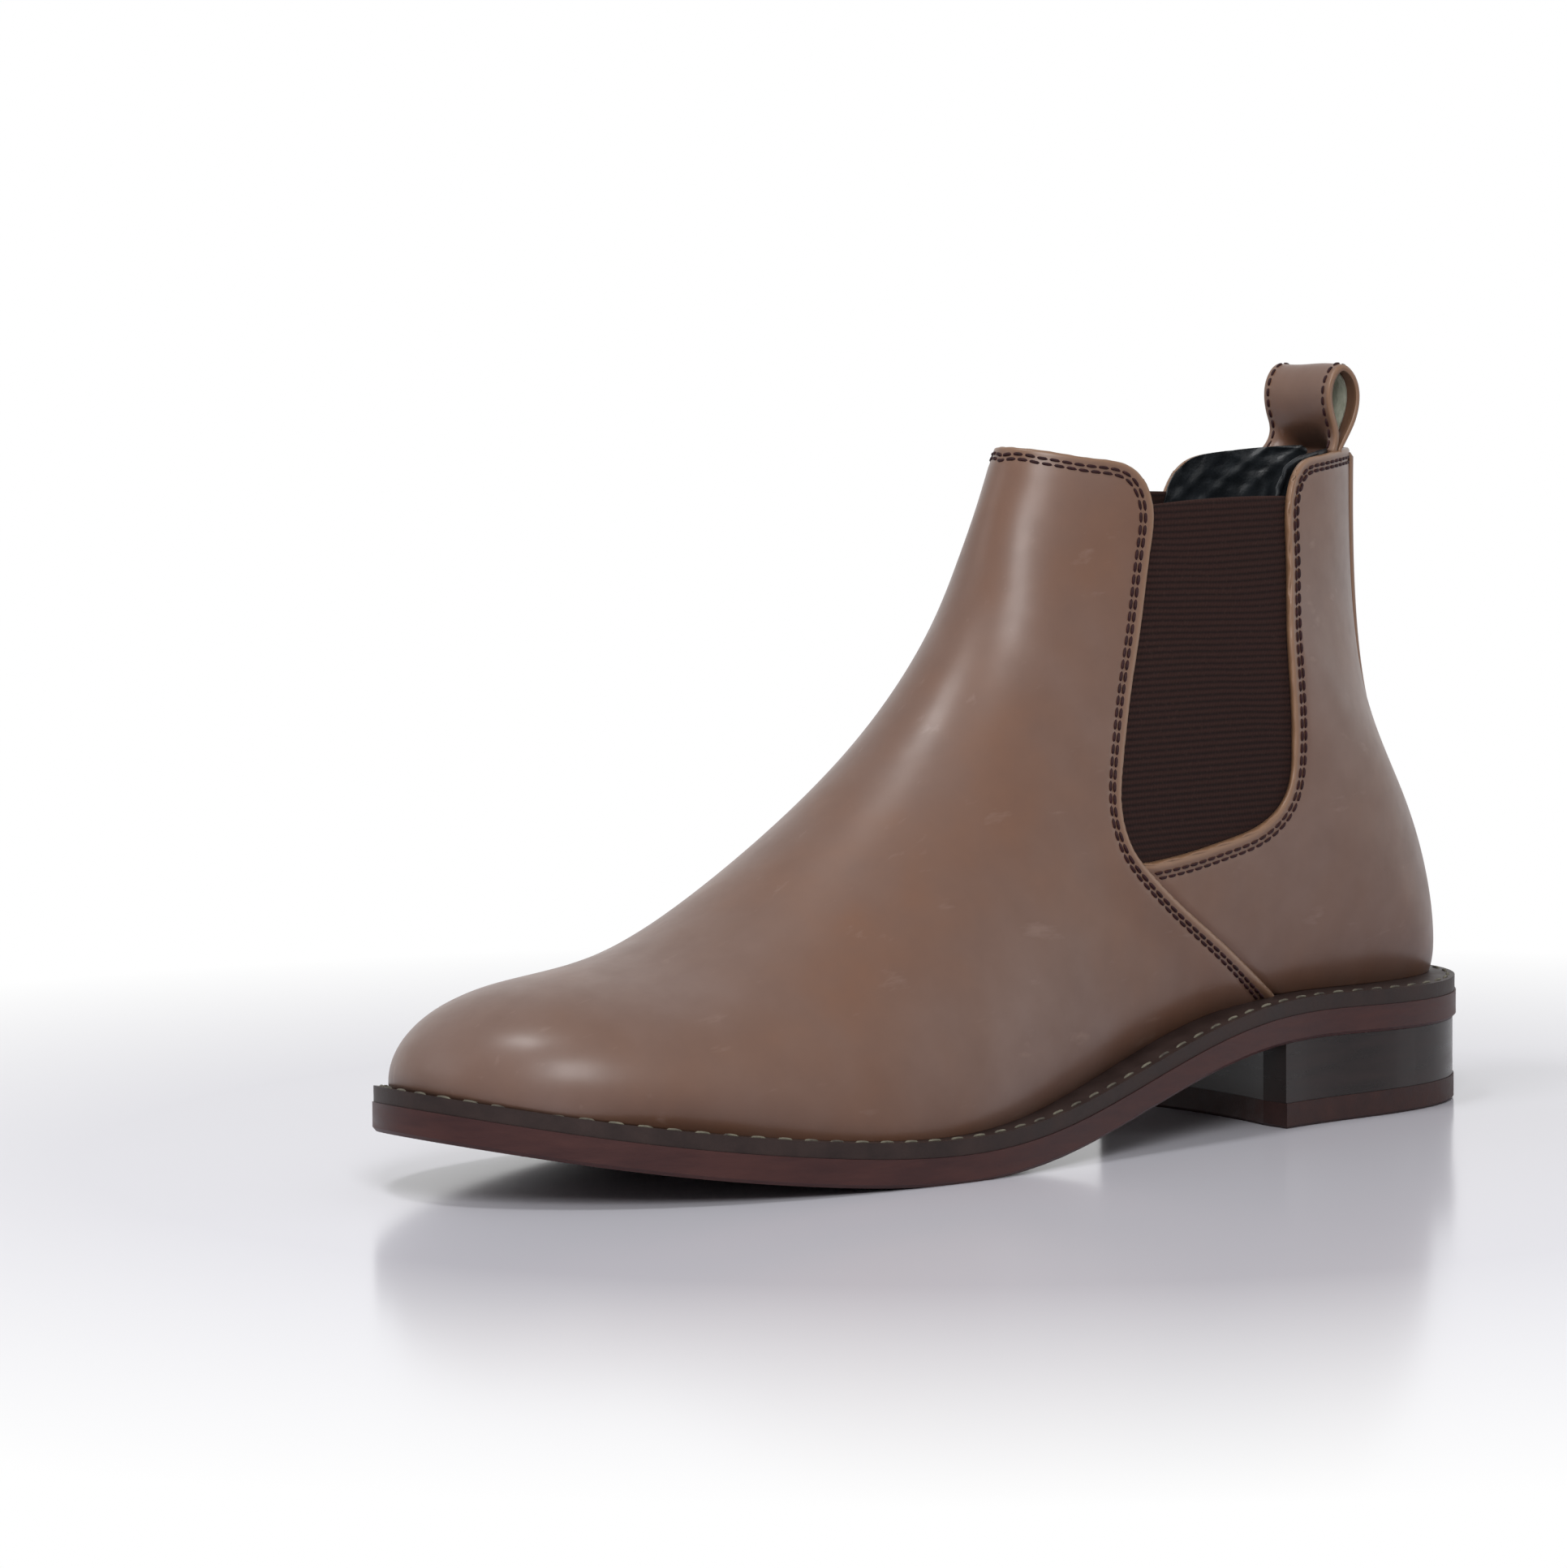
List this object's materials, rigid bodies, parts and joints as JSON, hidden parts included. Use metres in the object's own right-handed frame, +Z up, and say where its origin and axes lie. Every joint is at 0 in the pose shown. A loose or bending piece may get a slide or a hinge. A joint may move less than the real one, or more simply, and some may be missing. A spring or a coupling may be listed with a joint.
{
  "type": "chelsea boot",
  "caption": "Left chelsea boot: ankle-high leather upper with elastic side panels, pull loop at the back, welted leather sole and low stacked heel.",
  "frame": {"origin": "centre of the boot's bounding box at the floor it stands on", "axes": "+X towards the toe, +Y towards the outer (left) side of this left boot, +Z up"},
  "size_m": [0.3, 0.1023, 0.1785],
  "materials": {
    "upper_leather": "waxed smooth calf, satin",
    "edge_leather": "cut edge, burnished",
    "gore_elastic": "ribbed woven elastic, matt",
    "lining_leather": "black glazed lining",
    "stiffener": "fibre board, matt",
    "insole_board": "insole board, matt",
    "sock_leather": "black sock lining, matt",
    "pad_foam": "covered foam, matt",
    "shank_steel": "spring steel",
    "cork": "cork and latex filler",
    "welt_leather": "dark stained welt, satin",
    "sole_leather": "red brown finished sole, satin",
    "heel_stack": "polished dark stack",
    "lift_rubber": "red brown heel rubber",
    "nail_steel": "bright nail",
    "tape_cotton": "grey green twill tape"
  },
  "bodies": {
    "foot": {"vamp": "upper_leather", "quarter_lateral": "upper_leather", "quarter_medial": "upper_leather", "back_strip": "upper_leather", "gore_lateral": "gore_elastic", "gore_medial": "gore_elastic", "vamp_lining": "lining_leather", "quarter_lining": "lining_leather", "toe_puff": "stiffener", "heel_counter": "stiffener", "insole": "insole_board", "sock_liner": "sock_leather", "heel_pad": "pad_foam", "shank": "shank_steel", "cork_filler": "cork", "welt": "welt_leather", "outsole": "sole_leather", "heel_block": "heel_stack", "top_lift": "lift_rubber", "heel_nails": "nail_steel", "lift_pins": "nail_steel"},
    "back_panel": {"quarter_lateral_upper": "upper_leather", "quarter_medial_upper": "upper_leather", "back_strip_upper": "upper_leather", "quarter_lining_upper": "lining_leather", "pull_loop_tab": "upper_leather"},
    "pull_loop": {"pull_loop": "upper_leather", "pull_loop_tape": "tape_cotton"}
  },
  "joints": [
    {"name": "shaft_open", "type": "hinge", "parent": "foot", "child": "back_panel", "pos_m": [-0.133, 0, 0.086], "axis": [0, -1, 0], "range_deg": [0, 6], "stiffness_Nm_per_rad": 10, "deforming": ["gore_lateral", "gore_medial"]},
    {"name": "pull_loop_fold", "type": "hinge", "parent": "back_panel", "child": "pull_loop", "pos_m": [-0.119, 0, 0.1599], "axis": [0, -1, 0], "range_deg": [-35, 35], "stiffness_Nm_per_rad": 0.05}
  ]
}
